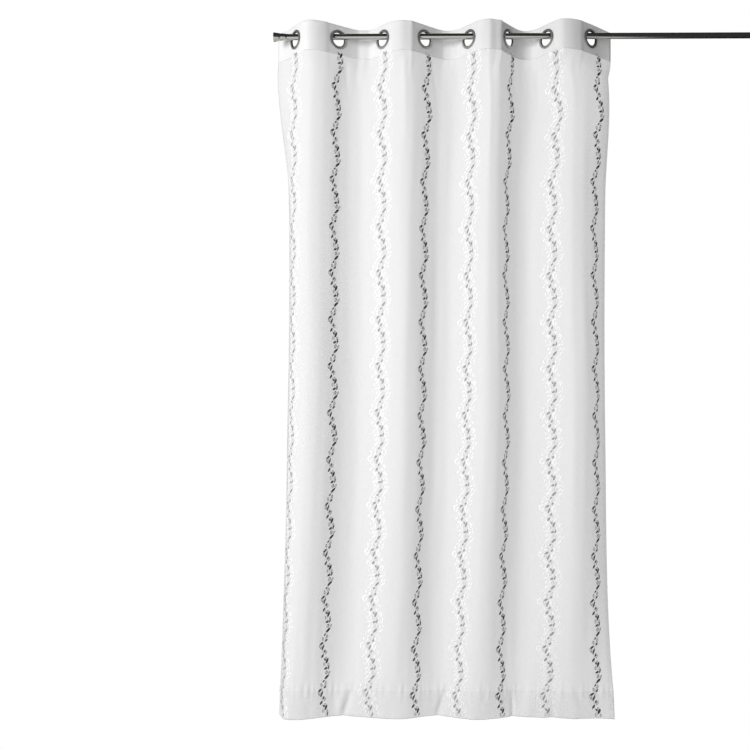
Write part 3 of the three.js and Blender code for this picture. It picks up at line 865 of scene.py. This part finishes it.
def eyelet_paint(name):
    """Plated ring: a satin flange and a more metallic throat, told apart by the way round its section;
    painted shade darkens the throat and the outer rim.
    """
    p = paint(name)
    uv = p.pattern()
    way = p.node("ShaderNodeSeparateXYZ", {0: uv}).outputs["X"]
    # painted shade: masks of the throat and of the outer rim, where the colour is taken towards near black
    throat_shade = p.maths("MAXIMUM", p.fit(way, 1, 0, *FRONT_THROAT_SHADE_END), p.fit(way, 0, 1, *BACK_THROAT_SHADE_START))
    rim_shade = p.maths("MINIMUM", p.fit(way, 0, 1, *RIM_SHADE_START), p.fit(way, 1, 0, *RIM_SHADE_END))
    dark = p.maths("MAXIMUM", throat_shade, p.maths("MULTIPLY", rim_shade, 0.7))
    scuffs = p.noise(p.stretched(uv, (500, 40, 1)), 1.0, 4.0)
    flange = p.tint(scuffs, (0.56, 0.56, 0.55), (0.74, 0.74, 0.73))
    # painted shade: the flange colour is mixed to near black by the throat and rim masks
    colour = p.node("ShaderNodeMix", {0: dark, 6: flange, 7: (0.07, 0.07, 0.073, 1)}, data_type="RGBA")
    face = p.node("ShaderNodeBsdfPrincipled", {"Base Color": colour.outputs[2],
                                               "Roughness": p.fit(scuffs, 0.25, 0.42),
                                               "Metallic": p.fit(throat_shade, 0.85, 1.0),
                                               "Normal": p.bump(scuffs, 0.00003, 0.3)})
    return p.finish(face.outputs[0])


voile_paint = cloth_paint("voile", VOILE_COVER, VOILE_GLOW)
turned_paint = cloth_paint("turned voile", TURNED_COVER, VOILE_GLOW)
heading_paint = cloth_paint("heading cloth", HEADING_COVER, HEADING_GLOW)
dark_thread = thread_paint("dark grey thread", (0.045, 0.047, 0.052), 0.2)
mid_thread = thread_paint("mid grey thread", (0.085, 0.087, 0.091), 0.2)
line_thread = thread_paint("light grey thread", (0.115, 0.118, 0.122), 0.2)
pale_thread = thread_paint("pale grey thread", (0.32, 0.32, 0.325), 0.2)
palest_thread = thread_paint("off white thread", (0.60, 0.60, 0.60), 0.2)
white_thread = thread_paint("white thread", (0.96, 0.96, 0.96), 0.3)
# The eyelet plating carries painted shade on each ring's throat and outer rim
chrome = eyelet_paint("eyelet plating")
steel = metal_paint("rod steel", (0.50, 0.49, 0.465), (0.66, 0.65, 0.62), 0.2, (3, 160, 1))

voile = voile_sheet("voile_cloth", voile_paint, turned_paint)
heading = heading_shell("heading_cloth", heading_paint)

eyelets = []
for i in range(EYELET_COUNT):
    at_line = np.array([CLOTH_TAIL + i * EYELET_PITCH])
    height = np.array([-EYELET_DROP])
    middle = hung.at(at_line, height)[0]
    facing = middle - hung.at(at_line, height, np.array([1.0]))[0]
    profile = [(row["out"], row["radius"]) for row in EYELET_PROFILE]
    eyelets.append(turned_piece(f"eyelet_ring_{i + 1}", profile, middle, -facing, UP, EYELET_SIDES, chrome))

rod_inside = ROD_RADIUS - ROD_WALL
rod_lip = ROD_RADIUS - ROD_CHAMFER
rod_profile = [(0, rod_inside), (0, rod_lip), (ROD_CHAMFER, ROD_RADIUS),
               (ROD_LENGTH - ROD_CHAMFER, ROD_RADIUS), (ROD_LENGTH, rod_lip), (ROD_LENGTH, rod_inside)]
rod_left = (ROD_LEFT_END, 0, 0)
rod_right = (ROD_LEFT_END + ROD_LENGTH, 0, 0)
rod = turned_piece("rod_tube", rod_profile, rod_left, RIGHT, UP, ROD_SIDES, steel)
finial_profile = [(row["along"], row["radius"]) for row in FINIAL_PROFILE]
finial_left = turned_piece("finial_end_left", finial_profile, rod_left, LEFT, UP, ROD_SIDES, steel,
                           closed=False)
finial_right = turned_piece("finial_end_right", finial_profile, rod_right, RIGHT, UP, ROD_SIDES, steel,
                            closed=False)

grey_work, pale_work, white_work, seam_work = Needlework(), Needlework(), Needlework(), Needlework()
for i, line in enumerate(FOLD_LINES):
    stripe = CLOTH_TAIL + i * EYELET_PITCH + line["shift"]
    if i % 2:
        add_vine(grey_work, stripe, dict(dark=0, mid=1, line=2), line["start"])
    else:
        add_vine(pale_work, stripe, dict(dark=0, mid=0, line=1), line["start"])
        for flank in (-FLANK_OFFSET, FLANK_OFFSET):
            add_vine(white_work, stripe + flank, dict(dark=0, mid=0, line=0), line["start"],
                     slim=WHITE_SLIM, outlined=False)
add_seams(seam_work)
grey_vines = grey_work.finish("grey_vines", [dark_thread, mid_thread, line_thread])
pale_vines = pale_work.finish("pale_vines", [pale_thread, palest_thread])
white_vines = white_work.finish("white_vines", [white_thread])
seams = seam_work.finish("sewing", [white_thread])

for piece, slot in ((voile, "voile"), (heading, "heading"), (rod, "rod"), (finial_left, "rod"),
                    (finial_right, "rod"), (grey_vines, "grey_thread"), (pale_vines, "grey_thread"),
                    (white_vines, "white_thread"), (seams, "white_thread")):
    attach(piece, "root")
for i, ring in enumerate(eyelets):
    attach(ring, "root")
    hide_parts(f"eyelet_{i + 1}")
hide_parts("voile_panel")
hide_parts("heading_strip")
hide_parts("rod")
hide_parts("finial_left")
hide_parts("finial_right")

# Floor, light and camera
FLOOR_BELOW_HEM = 250
FLOOR_SIDE = 1900
FLOOR_FRONT = -1700
FLOOR_BACK = 260
floor_paint = paint("pale floor")
floor_face = floor_paint.node("ShaderNodeBsdfPrincipled", {"Base Color": (0.72, 0.72, 0.72, 1),
                                                           "Roughness": 0.9})
floor_height = HEM_EDGE - FLOOR_BELOW_HEM
floor_corners = [(x, y, floor_height) for x, y in ((-FLOOR_SIDE, FLOOR_FRONT), (FLOOR_SIDE, FLOOR_FRONT),
                                                   (FLOOR_SIDE, FLOOR_BACK), (-FLOOR_SIDE, FLOOR_BACK))]
floor = make_object("floor", floor_corners, [(0, 1, 2, 3)],
                    materials=[floor_paint.finish(floor_face.outputs[0])])

# The room is white where the camera looks past the curtain, plain and dimmer as light on the cloth;
# where the metal mirrors it, it is dark overhead and to the right, and dim behind the curtain
sky = Nodes(bpy.data.worlds.new("studio"), "ShaderNodeOutputWorld")
ray = sky.node("ShaderNodeLightPath").outputs
way = sky.node("ShaderNodeSeparateXYZ", {0: sky.node("ShaderNodeTexCoord").outputs["Generated"]}).outputs
seen = sky.node("ShaderNodeBackground", {"Color": (1, 1, 1, 1), "Strength": 1.0})
felt = sky.node("ShaderNodeBackground", {"Color": (1, 1, 1, 1), "Strength": 0.28})
shade_line = sky.maths("ADD", way["Z"], sky.maths("MULTIPLY", sky.maths("MAXIMUM", way["X"], 0.0), 1.25))
in_front = sky.fit(way["Y"], 1.0, 0.4, -0.3, 0.6)
strength = sky.maths("MULTIPLY", sky.fit(shade_line, 0.9, 0.04, -0.2, 0.02), in_front)
mirrored = sky.node("ShaderNodeBackground", {"Color": (1, 1, 1, 1), "Strength": strength})
unseen = sky.node("ShaderNodeMixShader",
                  {0: ray["Is Glossy Ray"], 1: felt.outputs[0], 2: mirrored.outputs[0]})
either = sky.node("ShaderNodeMixShader",
                  {0: ray["Is Camera Ray"], 1: unseen.outputs[0], 2: seen.outputs[0]})
bpy.context.scene.world = sky.finish(either.outputs[0])


def soft_light(name, place, target, size, power):
    light = bpy.data.lights.new(name, "AREA")
    light.shape = "RECTANGLE"
    light.size, light.size_y = size
    light.energy = power
    lamp = bpy.data.objects.new(name, light)
    lamp.location = place
    lamp.rotation_euler = (Vector(target) - Vector(place)).to_track_quat("-Z", "Y").to_euler()
    lamp.visible_camera = False
    lamp.visible_glossy = False
    bpy.context.scene.collection.objects.link(lamp)


# Lights, in metres and watts
LIGHTS = [
    dict(name="key", place=(-2.6, -2.9, -0.35), target=(-0.1, 0, -1.0), size=(1.5, 2.2), power=160),
    dict(name="behind", place=(0.35, 2.2, -1.1), target=(0.1, 0, -1.1), size=(2.0, 2.2), power=10),
]
for light_row in LIGHTS:
    soft_light(**light_row)

# The camera stands where the photograph was taken from, in metres
CAMERA_TARGET = (-0.2392, 0.0, -1.1723)
CAMERA_DISTANCE = 2.8885
CAMERA_YAW = math.radians(0.54)
camera = bpy.data.cameras.new("camera")
camera.lens = 40
camera.sensor_width = 36
eye = bpy.data.objects.new("camera", camera)
eye.location = (CAMERA_TARGET[0] + CAMERA_DISTANCE * math.sin(CAMERA_YAW),
                CAMERA_TARGET[1] - CAMERA_DISTANCE * math.cos(CAMERA_YAW), CAMERA_TARGET[2])
eye.rotation_euler = (math.pi / 2, 0, CAMERA_YAW)
bpy.context.scene.collection.objects.link(eye)
bpy.context.scene.camera = eye
bpy.context.scene.view_settings.view_transform = "Standard"
